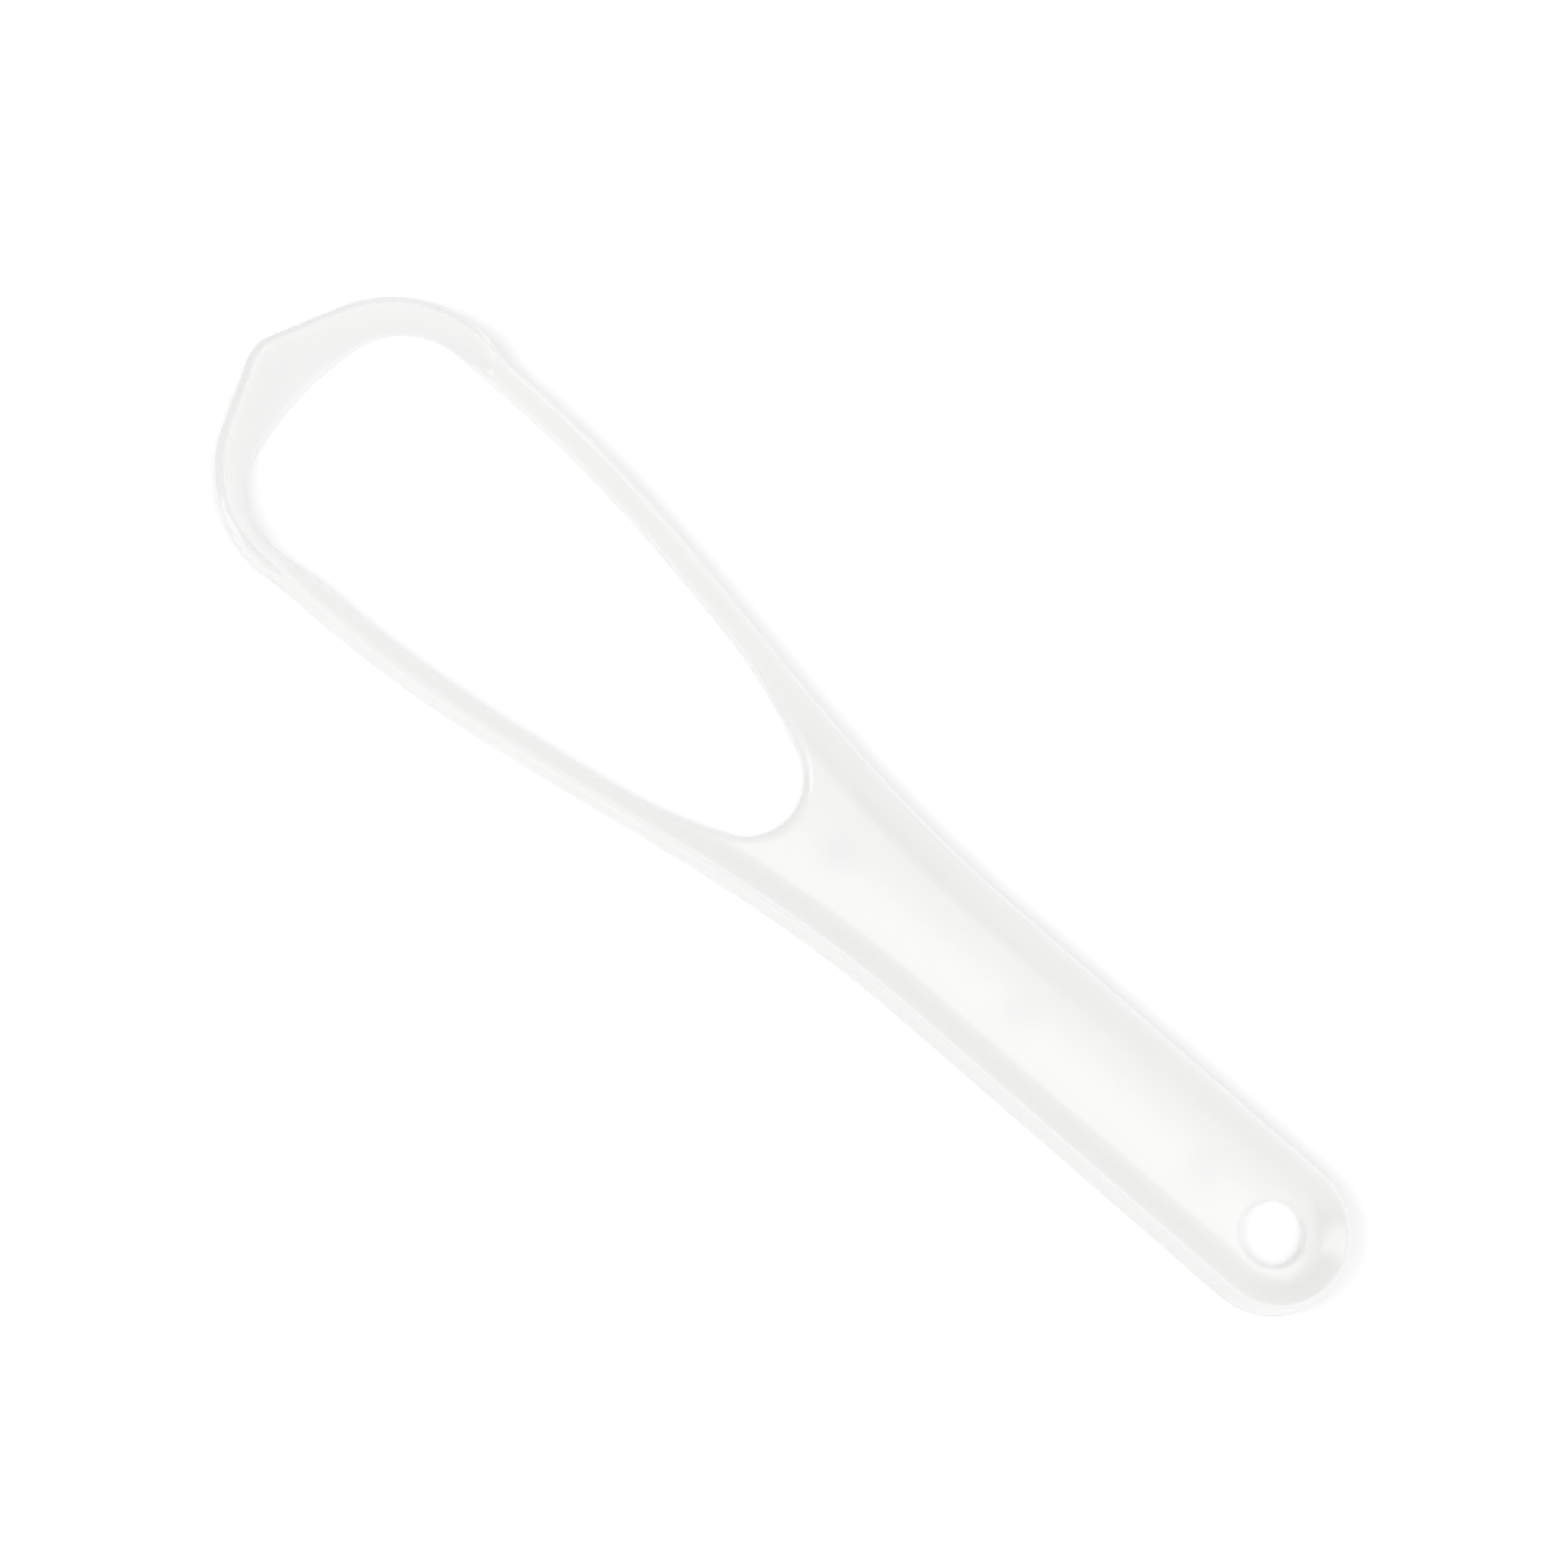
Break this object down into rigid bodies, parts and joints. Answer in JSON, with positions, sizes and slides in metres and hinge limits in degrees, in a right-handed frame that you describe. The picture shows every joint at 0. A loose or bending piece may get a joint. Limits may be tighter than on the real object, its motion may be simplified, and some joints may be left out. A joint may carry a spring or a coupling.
{
  "type": "tongue scraper",
  "caption": "Moulded plastic tongue scraper: a dished handle with a hang hole flares into an open loop, which a raised, peaked scraping blade closes.",
  "frame": {"origin": "middle of the tool's length and width, on its flat underside", "axes": "+X along the tool towards the scraping blade, +Y across it, +Z out of the dished face"},
  "size_m": [0.16, 0.0372, 0.0047],
  "materials": {
    "white_plastic": "moulded, semi-gloss"
  },
  "bodies": {
    "root": {"hang_tail": "white_plastic", "handle_tray": "white_plastic", "loop_fork": "white_plastic", "left_arm": "white_plastic", "right_arm": "white_plastic", "scraping_head": "white_plastic"}
  },
  "joints": []
}
